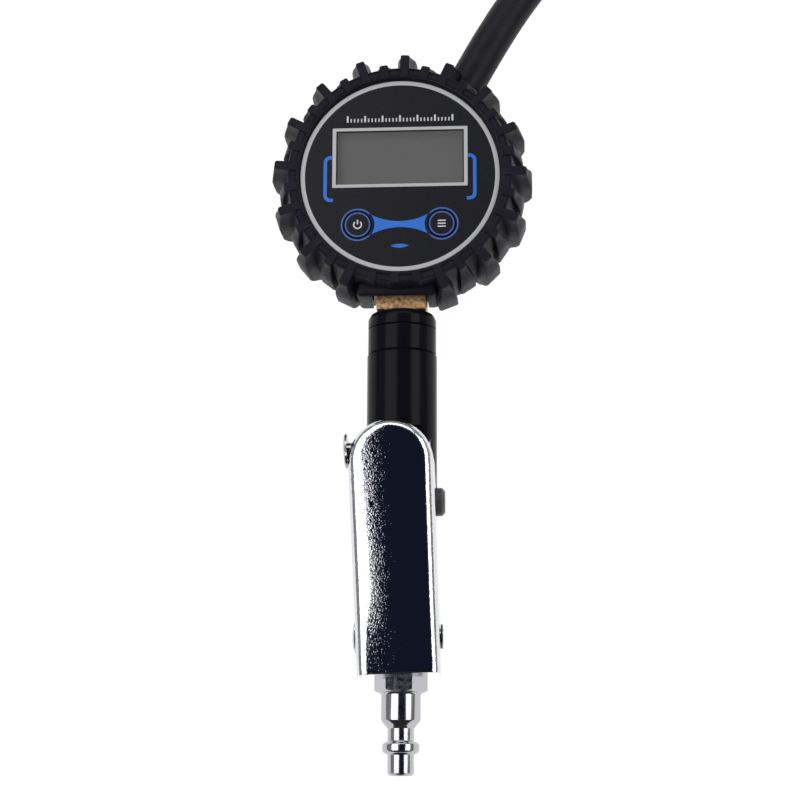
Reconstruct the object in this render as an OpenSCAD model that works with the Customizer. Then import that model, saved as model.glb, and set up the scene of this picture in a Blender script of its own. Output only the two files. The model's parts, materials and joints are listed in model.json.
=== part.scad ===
// Digital tyre pressure gauge with an inline inflator handle, lying on its back.
// +X is the right of the dial, +Y runs from the air inlet to the gauge head, +Z is up through the dial.
// The origin is under the middle of the object, on the surface that it lies on.

/* [Gauge head] */
// Outside diameter of the printed ring on the dial
dial_d = 62; // [59:0.5:62]
// Diameter of the boot over its bulge
boot_d = 82.8; // [81:0.4:86]
// Diameter of the boot's front rim, between the lugs
rim_d = 70.8; // [70:0.2:72]
// Depth of the boot from back to front
boot_depth = 30; // [30:0.5:32]
// Number of long lugs; a short lug stands between each two
lug_count = 16; // [12:1:18]
// Turn of the lug pattern from the top, in degrees
lug_turn = 2.5; // [0:0.5:10]
// Width of the notch in the boot for the stem
notch_w = 17.6; // [17:0.2:20]

/* [Handle] */
// Outside diameter of the valve body
tube_d = 21.8; // [21.6:0.1:22]
// Length of the valve body
tube_len = 97.7; // [96:0.1:104]
// Distance from the dial's centre to the top of the lock ring
stem_gap = 41.4; // [40.8:0.2:45]

/* [Lever] */
// Slope of the lever's top at rest, in degrees
lever_rise = 6.9; // [6:0.1:7.5]
// Angle that the lever is squeezed through, in degrees
lever_travel = 3.5; // [2.5:0.1:3.5]
// Sideways lean of the lever from its side play, in degrees
lever_lean = 2; // [0:0.1:2]
// Thickness of the lever's sheet
sheet = 0.9; // [0.8:0.05:1]

/* [Inlet plug] */
// Hexagon across its flats
hex_af = 14; // [13.5:0.1:14.3]

/* [Hose] */
// Outside diameter of the hose
hose_d = 12; // [11:0.5:12]

/* [Hidden] */
$fn = 48;
e = 0.01;                       // lets a cut run past the face that it opens
gap = 0.3;                      // air between parts that move past each other
fit = 0.05;                     // radial clearance of a turned or sliding fit

// Stations along the handle, from the gauge head to the inlet
axis_z = 15;                    // height of the handle's axis
lock_ring_h = 5.2;
end_cap_h = 8.3;
plug_len = 31.25;
overall_len = boot_d / 2 + stem_gap + lock_ring_h + end_cap_h + tube_len + plug_len;
gauge_y = overall_len / 2 - boot_d / 2;
stem_y = gauge_y - stem_gap;
cap_y = stem_y - lock_ring_h;
tube_y = cap_y - end_cap_h;
tube_end_y = tube_y - tube_len;
collar_r = 10.65;
tube_r = tube_d / 2;

// Gauge head
housing_r = 32.4;
housing_wall = 1.8;
back_z = 2.8;                   // back face of the rear housing
split_z = 24.6;                 // where the front cover meets the rear housing
board_z = 21.9;
board_t = 1.2;
plate_z = 25.6;                 // underside of the front cover's plate
face_z = 28.6;                  // front of the printed overlay
overlay_t = 0.4;
window_y = 6;                   // middle of the display, above the dial's centre
window = [39.4, 17.6];
lens = [41.8, 20.2];
lcd = [43, 24];
button_x = 13.1;
button_y = -16;
button_r = 4.15;
button_flange_r = 5.1;
button_low_z = plate_z - gap - 0.9;
screw_angles = [10, 120, 200, 326];
screw_ring_r = 26.5;
well_r = 10.4;                  // battery well
cap_r = 12.4;
boot_inner_r = housing_r + 0.2;
notch_shift = -0.6;             // the notch sits a little to the left of the stem
lug_gather = 3;                 // degrees by which the side lugs stand nearer to the top than even steps
lug_clear = 11;                 // no lug stands nearer than this to the stem's line
rim_r = rim_d / 2;
bulge_r = boot_d / 2;

// Air path of the gauge head
stem_w = 15.3;
stem_h = 13;
spigot_r = 6.4;
air_r = 3;
outlet_air_r = 2.7;
outlet_y = -2;                  // where the outlet branch starts, from the dial's centre
boss_len = 12;
boss_r = 6.45;
collar_len = 2.4;
washer_t = 0.8;
nipple_r = 3.15;
barb_end = 31;
ferrule_len = 12.4;
ferrule_t = 0.7;
hose_bore_r = 3.2;
hose_r = hose_d / 2;

// Centreline of the hose, from the dial's centre and the surface that the object lies on
route = [[21.5, 37, 15], [29, 50.5, 14.5], [37, 64, 12.5], [46, 77, 10], [56, 89, 8], [68, 99, 6.5],
    [82, 105.5, 6], [97, 107, 6], [112, 104, 6], [126, 97, 6], [138, 86, 6], [147, 72, 6], [152, 56, 6],
    [154, 39, 6], [154, 23, 6.5], [152.5, 8, 7.5], [152, -7, 8]];
route_start = route[0];
route_end = route[len(route) - 1];
hose_turn = atan2(route_start.x, route_start.y - outlet_y);
root_len = norm([route_start.x, route_start.y - outlet_y]);
root_from = boss_len + washer_t + collar_len + 0.2;
hose_end_len = 18;

// Lever, its pins and its valve
lever_shift = -0.4;              // the lever sits a little to one side on its pins
pivot = [lever_shift, tube_y - 88, axis_z + 5];
pusher_arm = 55.5;              // from the pivot to the pusher pin
pusher_rise = 10;
pin_r = 2.5;
lever_tail = 11.7;              // from the pivot to the flat end
lever_nose = 64;                // from the pivot to the rounded end
lever_half = [12.5, 12.9];      // half width at the flat end and at the rounded end
crown_h = 8;                    // height of the top over the pivot, at the flat end
valve_y = pivot.y + pusher_arm;
stroke = pusher_arm * sin(lever_travel);
pin_low_z = pivot.z + pusher_rise - pin_r;
bush_top_z = pin_low_z - stroke - gap;
saddle_z = bush_top_z - 0.5;
bush_r = 5.5;
seat_z = 13.6;
chamber_r = 6.2;
poppet_r = 4.6;
rod_r = 2.5;                    // plunger
poppet_z = 10.3;
valve_cap_r = 7;
foot_z = 6.5;                   // flat on the back of the valve body

// Bleed valve
bleed_y = tube_y - 46.3;
knob_r = 4.35;
knob_x = [10.2, 13.35];
bleed_bush_x = [4.5, 8.2];

// Chuck
chuck_y = route_end.y + gauge_y - hose_end_len;
chuck_x = route_end.x;
chuck_z = route_end.z;
chuck_r = 7.4;
chuck_socket_r = 4.7;
clip_pivot = [chuck_x, chuck_y - 22, chuck_z + 9.2];

module rod_x(r, x0, x1, y, z) {
    translate([x0, y, z]) rotate([0, 90, 0]) cylinder(r = r, h = x1 - x0);
}

module rod_y(r, y0, y1, x = 0, z = axis_z) {
    translate([x, y0, z]) rotate([-90, 0, 0]) cylinder(r = r, h = y1 - y0);
}

module rod_z(r, z0, z1, x = 0, y = 0) {
    translate([x, y, z0]) cylinder(r = r, h = z1 - z0);
}

// A ring between two radii, standing on z0
module ring_z(inner, outer, z0, z1) {
    translate([0, 0, z0]) rotate_extrude()
        polygon([[inner, 0], [outer, 0], [outer, z1 - z0], [inner, z1 - z0]]);
}

module cylinder_from(r, z0, z1) {
    translate([0, 0, z0]) cylinder(r = r, h = z1 - z0);
}

// A box from one corner to the other
module block(low, high) {
    translate(low) cube(high - low);
}

// A turned shape about the handle's axis: each point is [radius, y]
module turned(points, x = 0, z = axis_z) {
    translate([x, 0, z]) rotate([-90, 0, 0]) rotate_extrude() polygon(points);
}

// Children are drawn along +Z from the outlet branch's start, and turned along the hose's axis
module along_outlet() {
    translate([0, gauge_y + outlet_y, axis_z]) rotate([-90, 0, -hose_turn]) children();
}

module at_dial() {
    translate([0, gauge_y, 0]) children();
}

module at_screws() {
    at_dial() for (a = screw_angles) rotate([0, 0, a]) translate([screw_ring_r, 0, 0]) children();
}

// A block of one size centred on the display window
module behind_window(size, z0, z1) {
    translate([0, gauge_y + window_y, (z0 + z1) / 2]) cube([size.x, size.y, z1 - z0], center = true);
}

// A tube of n sides swept along points
function unit(v) = v / norm(v);
function heading(p, i) = unit(p[min(i + 1, len(p) - 1)] - p[max(i - 1, 0)]);
function side_of(h) = unit(cross(h, [0, 0, 1]));
function sweep_ring(p, i, r, n, first) =
    let (h = i == 0 ? first : heading(p, i), s = side_of(h), u = cross(s, h))
    [for (k = [0:n - 1]) p[i] + r * (cos(360 * k / n) * s + sin(360 * k / n) * u)];

module swept_tube(p, r, n, first) {
    last = (len(p) - 1) * n;
    polyhedron(
        points = [for (i = [0:len(p) - 1]) each sweep_ring(p, i, r, n, first)],
        faces = [
            [for (k = [0:n - 1]) k],
            for (i = [0:len(p) - 2], k = [0:n - 1])
                [i * n + k, (i + 1) * n + k, (i + 1) * n + (k + 1) % n, i * n + (k + 1) % n],
            [for (k = [n - 1:-1:0]) last + k]
        ]);
}

// A compression spring from z = 0 to z = len, wound about Z
module coil_spring(r, wire, len, turns) {
    steps = 14 * turns;
    line = [for (i = [0:steps])
        let (a = 360 * turns * i / steps) [r * cos(a), r * sin(a), wire + (len - 2 * wire) * i / steps]];
    swept_tube(line, wire, 6, [0, 1, 0]);
}

// ---- Gauge head ----

// Long and short lugs in turn, each a spoke of one width; none stands within notch of the stem's line
module lug_outline(long_r, short_r, width, notch) {
    for (k = [0:2 * lug_count - 1]) {
        even = lug_turn + 180 * k / lug_count;
        turn = even - lug_gather * sin(even);
        reach = (k % 2 == 0 ? long_r : short_r) - boot_inner_r;
        if (cos(turn) > 0 || abs(sin(turn)) * boot_inner_r > notch)
            rotate(90 - turn) translate([boot_inner_r, -width / 2]) square([reach, width]);
    }
}

module boot_layer(z0, z1, body_r, long_r, short_r, width, notch = lug_clear) {
    translate([0, 0, z0]) linear_extrude(z1 - z0) difference() {
        union() {
            circle(r = body_r);
            lug_outline(long_r, short_r, width, notch);
        }
        circle(r = boot_inner_r);
    }
}

// The block of rubber that the stem comes out through
module stem_pad() {
    translate([0, 0, 9]) linear_extrude(16.5) polygon([[-13.9, -boot_inner_r - 0.3], [-13.9, -36.8],
        [-12.7, -38], [10.4, -38], [11.6, -36.8], [11.6, -boot_inner_r - 0.3]]);
}

module rubber_boot() {
    color([0.11, 0.11, 0.13]) difference() {
        at_dial() union() {
            boot_layer(1.5, 8, 36.2, bulge_r - 3, bulge_r - 5, 6);
            boot_layer(8, 22, 37, bulge_r, bulge_r - 2.4, 6.6);
            boot_layer(22, 26, rim_r + 0.6, bulge_r - 1, bulge_r - 3.6, 4.6);
            boot_layer(26, boot_depth, rim_r, bulge_r - 1.8, bulge_r - 4.8, 2.8, 0);
            ring_z(housing_r - 5, 35.4, 0, back_z - 0.2);
            ring_z(dial_d / 2 + 0.6, rim_r, face_z + 0.2, boot_depth);
            stem_pad();
        }
        translate([notch_shift - notch_w / 2, gauge_y - 50, -e]) cube([notch_w, 28, 24.5]);
        along_outlet() cylinder(r = hose_r + 0.4, h = root_len + 5);
    }
}

module rear_housing() {
    color([0.13, 0.13, 0.14]) difference() {
        union() {
            at_dial() difference() {
                rod_z(housing_r, back_z, split_z);
                rod_z(housing_r - housing_wall, back_z + 2, split_z + e);
            }
            at_dial() rod_z(well_r + 3.5, back_z + e, 8);
            at_screws() rod_z(2.9, back_z + e, board_z - 0.1);
        }
        at_dial() rod_z(well_r, back_z + 1.8, 9);
        at_dial() rod_z(cap_r + fit, back_z - e, back_z + 1.8);
        at_screws() rod_z(1.15, back_z - e, board_z);
        at_screws() rod_z(2.2, back_z - e, back_z + 1.3);
        block([-stem_w / 2 - 0.2, gauge_y - 40, axis_z - stem_h / 2 - 0.2],
            [stem_w / 2 + 0.2, gauge_y - 25, axis_z + stem_h / 2 + 0.2]);
        along_outlet() translate([0, 0, 20]) cylinder(r = hose_r + 0.9, h = 25);
    }
}

module front_cover() {
    color([0.13, 0.13, 0.15]) difference() {
        union() {
            at_dial() difference() {
                rod_z(housing_r, split_z + 0.05, face_z + 0.1);
                rod_z(housing_r - housing_wall, split_z, plate_z);
                rod_z(dial_d / 2 + 0.4, face_z - overlay_t, face_z + 1);
            }
            at_screws() rod_z(2.6, board_z + board_t + 0.1, plate_z + e);
        }
        at_screws() rod_z(1.15, board_z + board_t, 27.2);
        behind_window(window, plate_z - 1, face_z + 1);
        behind_window(lens + [0.2, 0.2], plate_z - 1, plate_z + 1.7);
        at_dial() for (s = [-1, 1]) rod_z(button_r + gap, plate_z - 1, face_z + 1, s * button_x, button_y);
    }
}

module face_overlay() {
    color([0.12, 0.12, 0.15]) at_dial() difference() {
        rod_z(dial_d / 2 + 0.35, face_z - overlay_t + 0.02, face_z);
        translate([0, -gauge_y, 0]) behind_window(window, face_z - 1, face_z + 1);
        for (s = [-1, 1]) rod_z(button_r + gap, face_z - 1, face_z + 1, s * button_x, button_y);
    }
}

module display_lens() {
    color([0.75, 0.78, 0.8, 0.4]) behind_window(lens, plate_z + 0.1, plate_z + 1.6);
}

module lcd_panel() {
    color([0.45, 0.46, 0.46]) behind_window(lcd, board_z + board_t + 0.1, board_z + board_t + 2.3);
}

module circuit_board() {
    color([0.05, 0.3, 0.15]) difference() {
        at_dial() rod_z(29.2, board_z, board_z + board_t);
        at_screws() rod_z(1.5, board_z - 1, board_z + 3);
    }
}

module controller_chip() {
    color([0.08, 0.08, 0.08]) translate([-19, gauge_y - 3, board_z - 2.3]) cube([10, 10, 2.2]);
}

module key_switch(side) {
    color([0.75, 0.75, 0.75]) translate([side * button_x, gauge_y + button_y, board_z + board_t + 0.02]) {
        translate([-3, -3, 0]) cube([6, 6, 0.5]);
        rod_z(1.6, 0, 0.6);
    }
}

module power_switch() {
    key_switch(-1);
}

module function_switch() {
    key_switch(1);
}

module face_button(side) {
    color([0.13, 0.13, 0.15]) translate([side * button_x, gauge_y + button_y, 0]) {
        rod_z(button_flange_r, button_low_z, plate_z - gap);
        rod_z(button_r, button_low_z, face_z + 0.1);
    }
}

module power_button() {
    face_button(-1);
}

module function_button() {
    face_button(1);
}

module coin_cell() {
    color([0.8, 0.8, 0.8]) at_dial() {
        rod_z(10, back_z + 2.5, back_z + 4.95);
        rod_z(8.8, back_z + 1.9, back_z + 2.5);
    }
}

module cell_clip() {
    color([0.85, 0.75, 0.45]) at_dial() {
        translate([-13, -2.5, 8.02]) cube([26, 5, 0.3]);
        rod_z(1.8, back_z + 5, 8.1);
    }
}

module battery_cap() {
    color([0.12, 0.12, 0.13]) at_dial() difference() {
        rod_z(cap_r, back_z - 0.2, back_z + 1.6);
        ring_z(cap_r - 0.7, cap_r + 1, back_z + 0.4, back_z + 1.1);
        block([-8, -0.9, back_z - 1], [8, 0.9, back_z + 0.8]);
    }
}

module battery_cap_seal() {
    color([0.1, 0.1, 0.1]) at_dial() ring_z(cap_r - 0.65, cap_r, back_z + 0.42, back_z + 1.08);
}

module housing_screws() {
    color([0.7, 0.7, 0.72]) at_screws() difference() {
        union() {
            rod_z(1.1, back_z + 0.3, 26.8);
            rod_z(2.1, back_z + 0.2, back_z + 1.25);
        }
        translate([-1.3, -0.25, back_z - 0.5]) cube([2.6, 0.5, 1.2]);
        translate([-0.25, -1.3, back_z - 0.5]) cube([0.5, 2.6, 1.2]);
    }
}

module gauge_manifold() {
    sensor_bore_r = 4;
    color([0.72, 0.56, 0.3]) difference() {
        union() {
            translate([-stem_w / 2, stem_y + 0.2, axis_z - stem_h / 2])
                cube([stem_w, stem_gap + outlet_y + 5, stem_h]);
            rod_y(spigot_r, stem_y - 15, stem_y + 1);
            along_outlet() cylinder(r = boss_r, h = boss_len);
        }
        rod_y(air_r, stem_y - 16, gauge_y + outlet_y);
        along_outlet() cylinder(r = outlet_air_r, h = boss_len + 1);
        along_outlet() translate([0, 0, boss_len - 7]) cylinder(r = nipple_r + 1.05, h = 8);
        rod_z(sensor_bore_r, axis_z + 2.5, 30, 0, gauge_y - 16);
    }
}

module pressure_sensor() {
    color([0.8, 0.8, 0.78]) rod_z(3.9, axis_z + 3.6, board_z - 0.1, 0, gauge_y - 16);
}

module sensor_seal() {
    color([0.1, 0.1, 0.1]) translate([0, gauge_y - 16, 0]) ring_z(2.4, 3.9, axis_z + 2.55, axis_z + 3.55);
}

module hose_nipple() {
    color([0.75, 0.6, 0.3]) along_outlet() difference() {
        union() {
            translate([0, 0, boss_len - 6.8]) cylinder(r = nipple_r + 1, h = 8);
            translate([0, 0, boss_len + washer_t]) cylinder(r = 6.4, h = collar_len, $fn = 6);
            cylinder_from(nipple_r, boss_len, barb_end);
        }
        cylinder_from(2, 0, barb_end + 1);
    }
}

module outlet_seal() {
    color([0.7, 0.4, 0.25]) along_outlet()
        ring_z(nipple_r + 1.05, 6.2, boss_len + 0.02, boss_len + washer_t - 0.02);
}

module hose_ferrule() {
    color([0.75, 0.75, 0.72]) along_outlet()
        ring_z(hose_r + 0.02, hose_r + ferrule_t, root_from + 0.4, root_from + 0.6 + ferrule_len);
}

// ---- Handle ----

module lock_ring() {
    color([0.08, 0.08, 0.09]) turned([[spigot_r + fit, cap_y + 0.02], [collar_r, cap_y + 0.02],
        [collar_r, stem_y - 2.4], [collar_r - 0.7, stem_y - 0.8], [collar_r - 2.3, stem_y],
        [spigot_r + fit, stem_y]]);
}

module end_cap() {
    color([0.08, 0.08, 0.09]) turned([[spigot_r + fit, tube_y - 10], [8, tube_y - 10], [8, tube_y + 0.02],
        [collar_r - 0.4, tube_y + 0.02], [collar_r, tube_y + 0.4], [collar_r, cap_y - 0.4],
        [collar_r - 0.4, cap_y], [spigot_r + fit, cap_y]]);
}

module end_cap_seal() {
    color([0.1, 0.1, 0.1]) turned([[5.2, tube_y - 11.9], [8, tube_y - 11.9],
        [8, tube_y - 10.1], [5.2, tube_y - 10.1]]);
}

module valve_body() {
    color([0.07, 0.07, 0.08]) difference() {
        turned([[0, tube_end_y + 0.02], [tube_r - 0.5, tube_end_y + 0.02], [tube_r, tube_end_y + 0.5],
            [tube_r, tube_y - 0.5], [tube_r - 0.5, tube_y], [0, tube_y]]);
        // outlet socket, inlet socket and the passages between them and the valve
        rod_y(8 + fit, tube_y - 12, tube_y + 1);
        rod_y(6.6, tube_end_y - 1, tube_end_y + 7);
        rod_y(2.2, tube_end_y + 6, valve_y, -4, 10.8);
        rod_y(2.2, valve_y, tube_y - 11, 0, 17);
        rod_y(1.1, bleed_y, valve_y, 2.9, 17);
        // the valve's bore, its seat, its chamber and the flats at both mouths
        rod_z(bush_r + fit, 15, 40, 0, valve_y);
        rod_z(3.2, 10, 16, 0, valve_y);
        rod_z(chamber_r + fit, -1, seat_z, 0, valve_y);
        translate([-20, valve_y - 8.5, saddle_z]) cube([40, 17, 20]);
        translate([-20, valve_y - 7.5, -10]) cube([40, 15, 10 + foot_z]);
        // the bleed valve's bore
        rod_x(2.8, 1.2, 5, bleed_y, axis_z);
        rod_x(3.9, bleed_bush_x[0], 20, bleed_y, axis_z);
        rod_x(knob_r + gap, bleed_bush_x[1] + 0.2, 20, bleed_y, axis_z);
        rod_x(pin_r + fit, -20, 20, pivot.y, pivot.z);
    }
}

module valve_bush() {
    color([0.75, 0.6, 0.3]) translate([0, valve_y, 0]) difference() {
        union() {
            rod_z(bush_r, 18, saddle_z + 0.02);
            rod_z(6.4, saddle_z + 0.02, bush_top_z);
        }
        rod_z(rod_r + fit, 10, 40);
    }
}

module plunger() {
    color([0.75, 0.75, 0.76]) translate([0, valve_y, 0]) {
        rod_z(rod_r, seat_z + 1, pin_low_z - gap);
        rod_z(1.7, poppet_z, seat_z + 2);
        rod_z(poppet_r, poppet_z, poppet_z + 2);
    }
}

module plunger_seal() {
    color([0.1, 0.1, 0.1]) translate([0, valve_y, 0])
        ring_z(1.75, poppet_r - 0.1, poppet_z + 2.02, seat_z - gap);
}

module valve_spring() {
    color([0.7, 0.7, 0.7]) translate([0, valve_y, 4.25]) coil_spring(3.9, 0.4, poppet_z - 4.3, 4);
}

module valve_cap() {
    color([0.12, 0.12, 0.13]) translate([0, valve_y, 0]) difference() {
        union() {
            rod_z(valve_cap_r, 0, foot_z - 0.62);
            rod_z(chamber_r, 1, 9.6);
        }
        rod_z(poppet_r + gap, 4.2, 10);
        translate([0, 0, -1]) cylinder(r = 3.2, h = 3.5, $fn = 6);
    }
}

module valve_cap_seal() {
    color([0.1, 0.1, 0.1]) translate([0, valve_y, 0])
        ring_z(chamber_r + 0.02, valve_cap_r - 0.1, foot_z - 0.6, foot_z - 0.02);
}

// The lever's own frame has its origin at the pivot. Height of the lever's top over the pivot, y along it
function lever_top(y) = crown_h + tan(lever_rise) * (y + lever_tail);

// The lever seen from the side, under its top and over the edge of its cheeks
module lever_side() {
    rotate([90, 0, 90]) linear_extrude(60, center = true) polygon([
        [-lever_tail - 5, -4.5], [-lever_tail, -4.8], [4, -5.2], [11, -1.8], [51, 4], [57, 7.4], [61, 10.2],
        [lever_nose + 5, 13], [lever_nose + 5, lever_top(lever_nose + 5)],
        [-lever_tail - 5, lever_top(-lever_tail - 5)]]);
}

// The hollow of the lever: everything under its top
module lever_hollow() {
    rotate([90, 0, 90]) linear_extrude(60, center = true) polygon([
        [-lever_tail - 5, -30], [lever_nose + 5, -30],
        [lever_nose + 5, lever_top(lever_nose + 5) - sheet],
        [-lever_tail - 5, lever_top(-lever_tail - 5) - sheet]]);
}

module lever_plan(inset, tail) {
    nose_r = lever_half[1] - inset;
    translate([0, 0, -20]) linear_extrude(60) union() {
        polygon([[-lever_half[0] + inset, -tail], [lever_half[0] - inset, -tail],
            [nose_r, lever_nose - lever_half[1]], [-nose_r, lever_nose - lever_half[1]]]);
        translate([0, lever_nose - lever_half[1]]) circle(r = nose_r);
    }
}

module lever_shell() {
    difference() {
        intersection() {
            lever_plan(0, lever_tail);
            lever_side();
        }
        intersection() {
            lever_plan(sheet, lever_tail + 1);
            lever_hollow();
        }
    }
}

module trigger_lever() {
    color([0.8, 0.8, 0.82]) difference() {
        translate(pivot) rotate([0, 0, lever_lean]) difference() {
            lever_shell();
            rod_x(pin_r + 0.02, -20, 20, pusher_arm, pusher_rise);
        }
        rod_x(pin_r + 0.08, -20, 20, pivot.y, pivot.z);
    }
}

module pivot_pin() {
    color([0.7, 0.7, 0.72]) translate([0, pivot.y, pivot.z]) difference() {
        union() {
            rod_x(pin_r, -13.4, 13.05, 0, 0);
            rotate([0, 90, 0]) rotate_extrude() polygon([[0, -14.3], [2.4, -14.15], [4.2, -13.8],
                [5.05, -13.4], [5.05, -13.2], [0, -13.2]]);
        }
        rotate([0, 90, 0]) ring_z(2, 4, 12.35, 12.9);
    }
}

module pivot_clip() {
    color([0.25, 0.25, 0.26]) translate([0, pivot.y, pivot.z]) rotate([0, 90, 0]) difference() {
        ring_z(2.05, 3.65, 12.38, 12.86);
        translate([1, -1.2, 10]) cube([5, 2.4, 6]);
    }
}

module pusher_pin() {
    head_x = -lever_half[1];
    color([0.7, 0.7, 0.72])
        translate(pivot) rotate([0, 0, lever_lean]) translate([0, pusher_arm, pusher_rise]) {
            rod_x(pin_r, head_x - 0.5, lever_half[1] - 0.9, 0, 0);
            rotate([0, 90, 0]) rotate_extrude() polygon([[0, head_x - 1.1], [4.2, head_x - 1.1],
                [5.1, head_x - 0.9], [5.4, head_x - 0.6], [5.2, head_x - 0.02], [0, head_x - 0.02]]);
        }
}

// ---- Bleed valve ----

module bleed_button() {
    color([0.06, 0.06, 0.07]) difference() {
        union() {
            translate([0, bleed_y, axis_z]) rotate([0, 90, 0]) rotate_extrude() polygon([[0, knob_x[0]],
                [knob_r, knob_x[0]], [knob_r, knob_x[1] - 0.9], [knob_r - 0.9, knob_x[1]], [0, knob_x[1]]]);
            rod_x(1.5, 3.6, 12, bleed_y, axis_z);
        }
        translate([0, bleed_y, axis_z]) rotate([0, 90, 0]) ring_z(1.5, 3.1, knob_x[0] - 1, 12);
    }
}

module bleed_bush() {
    color([0.75, 0.6, 0.3]) translate([0, bleed_y, axis_z]) rotate([0, 90, 0])
        ring_z(1.55, 3.88, bleed_bush_x[0] + 0.02, bleed_bush_x[1]);
}

module bleed_spring() {
    color([0.7, 0.7, 0.7]) translate([bleed_bush_x[1] + 0.05, bleed_y, axis_z]) rotate([0, 90, 0])
        coil_spring(2.3, 0.3, 12 - bleed_bush_x[1] - 0.1, 4);
}

module bleed_seal() {
    color([0.1, 0.1, 0.1]) translate([0, bleed_y, axis_z]) rotate([0, 90, 0]) difference() {
        cylinder_from(2.5, 3.1, bleed_bush_x[0] - gap);
        cylinder_from(1.52, 3.58, 10);
    }
}

// ---- Inlet ----

module inlet_plug() {
    y0 = tube_end_y;
    nose_r = 4;
    color([0.8, 0.8, 0.82]) difference() {
        union() {
            rod_y(6.55, y0 - 1, y0 + 6.8);
            intersection() {
                translate([0, y0, axis_z]) rotate([90, 0, 0]) rotate([0, 0, 1.5])
                    cylinder(r = hex_af / 2 / cos(30), h = 6.8, $fn = 6);
                turned([[0, y0 - 6.8], [hex_af / 2 - 0.1, y0 - 6.8], [hex_af / 2 + 1.3, y0 - 5.9],
                    [hex_af / 2 + 1.3, y0], [0, y0]]);
            }
            turned([[0, y0 - 6.7], [6.5, y0 - 6.7], [6, y0 - 7.6], [6, y0 - 14.8], [5.6, y0 - 15.5],
                [nose_r, y0 - 17.4], [nose_r, y0 - 21], [5.2, y0 - 21.6], [5.6, y0 - 22.2],
                [5.6, y0 - 23.8], [5.2, y0 - 24.5], [nose_r, y0 - 25.2],
                [nose_r, y0 - 30.6], [3.4, y0 - plug_len], [0, y0 - plug_len]]);
        }
        rod_y(2.6, y0 - 50, y0 + 10);
        rod_y(4.1, y0 + 4, y0 + 10);
    }
}

module inlet_screen() {
    color([0.7, 0.7, 0.65]) difference() {
        rod_y(4.05, tube_end_y + 4.02, tube_end_y + 5);
        for (x = [-2.25:1.5:2.25], z = [-2.25:1.5:2.25])
            translate([x - 0.45, tube_end_y + 3, axis_z + z - 0.45]) cube([0.9, 3, 0.9]);
    }
}

// ---- Hose and chuck ----

module hose_root() {
    color([0.12, 0.12, 0.13]) along_outlet() ring_z(hose_bore_r, hose_r, root_from, root_len);
}

module hose_run() {
    color([0.12, 0.12, 0.13]) translate([0, gauge_y, 0])
        swept_tube(route, hose_r, 10, [sin(hose_turn), cos(hose_turn), 0]);
}

module hose_end() {
    color([0.12, 0.12, 0.13])
        turned([[hose_bore_r, chuck_y], [hose_r, chuck_y], [hose_r, chuck_y + hose_end_len - 0.25],
            [hose_bore_r, chuck_y + hose_end_len - 0.25]], chuck_x, chuck_z);
}

module chuck_ferrule() {
    color([0.75, 0.75, 0.72]) turned([[hose_r + 0.02, chuck_y + 1], [hose_r + ferrule_t, chuck_y + 1],
        [hose_r + ferrule_t, chuck_y + 1 + ferrule_len], [hose_r + 0.02, chuck_y + 1 + ferrule_len]],
        chuck_x, chuck_z);
}

module chuck_stem() {
    color([0.75, 0.6, 0.3]) difference() {
        union() {
            rod_y(nipple_r, chuck_y - 1, chuck_y + 15, chuck_x, chuck_z);
            translate([chuck_x, chuck_y - 0.1, chuck_z]) rotate([90, 0, 0])
                cylinder(r = 6.9, h = 4.8, $fn = 6);
            rod_y(chuck_socket_r - 0.05, chuck_y - 9.9, chuck_y - 3, chuck_x, chuck_z);
        }
        rod_y(2, chuck_y - 12, chuck_y + 20, chuck_x, chuck_z);
    }
}

module chuck_body() {
    color([0.78, 0.62, 0.3]) difference() {
        union() {
            turned([[0, chuck_y - 5], [chuck_r - 0.8, chuck_y - 5], [chuck_r, chuck_y - 5.8],
                [chuck_r, chuck_y - 33], [chuck_r - 1, chuck_y - 34], [0, chuck_y - 34]],
                chuck_x, chuck_z);
            for (s = [-1, 1]) translate([chuck_x + s * 4.3 - 0.9, clip_pivot.y - 3, chuck_z + 3])
                cube([1.8, 6, 9.2]);
        }
        // the stem's socket, the passage, the seal's pocket, the mouth and its wider slotted entry
        rod_y(chuck_socket_r, chuck_y - 10, chuck_y, chuck_x, chuck_z);
        rod_y(2, chuck_y - 30, chuck_y, chuck_x, chuck_z);
        rod_y(4.4, chuck_y - 22.8, chuck_y - 20, chuck_x, chuck_z);
        rod_y(4.1, chuck_y - 30, chuck_y - 22.7, chuck_x, chuck_z);
        rod_y(4.5, chuck_y - 40, chuck_y - 28.6, chuck_x, chuck_z);
        rod_x(1.05, chuck_x - 10, chuck_x + 10, clip_pivot.y, clip_pivot.z);
        // slot for the clip's claw
        translate([chuck_x - 3.2, chuck_y - 35, chuck_z + 3]) cube([6.4, 6.2, 10]);
    }
}

module chuck_seal() {
    color([0.1, 0.1, 0.1]) turned([[1.5, chuck_y - 22.5], [4.38, chuck_y - 22.5], [4.38, chuck_y - 20.05],
        [1.5, chuck_y - 20.05]], chuck_x, chuck_z);
}

module chuck_depressor() {
    color([0.75, 0.75, 0.76]) union() {
        rod_y(0.9, chuck_y - 22.6, chuck_y - 16, chuck_x, chuck_z);
        difference() {
            rod_y(1.96, chuck_y - 19, chuck_y - 16, chuck_x, chuck_z);
            translate([chuck_x + 0.5, chuck_y - 20, chuck_z - 3]) cube([3, 5, 6]);
        }
    }
}

module chuck_clip() {
    color([0.8, 0.8, 0.82]) difference() {
        translate([clip_pivot.x, clip_pivot.y, clip_pivot.z]) rotate([90, 0, 90])
            linear_extrude(5.8, center = true) union() {
                circle(r = 1.5);
                polygon([[20, 6.2], [4, 2.6], [-8, 2.4], [-11.4, 1], [-11.4, -5.2], [-10, -5.2], [-9.8, 0],
                    [-7, 0.9], [4, 1.1], [20, 4.8]]);
            }
        rod_x(1.05, chuck_x - 10, chuck_x + 10, clip_pivot.y, clip_pivot.z);
    }
}

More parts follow.
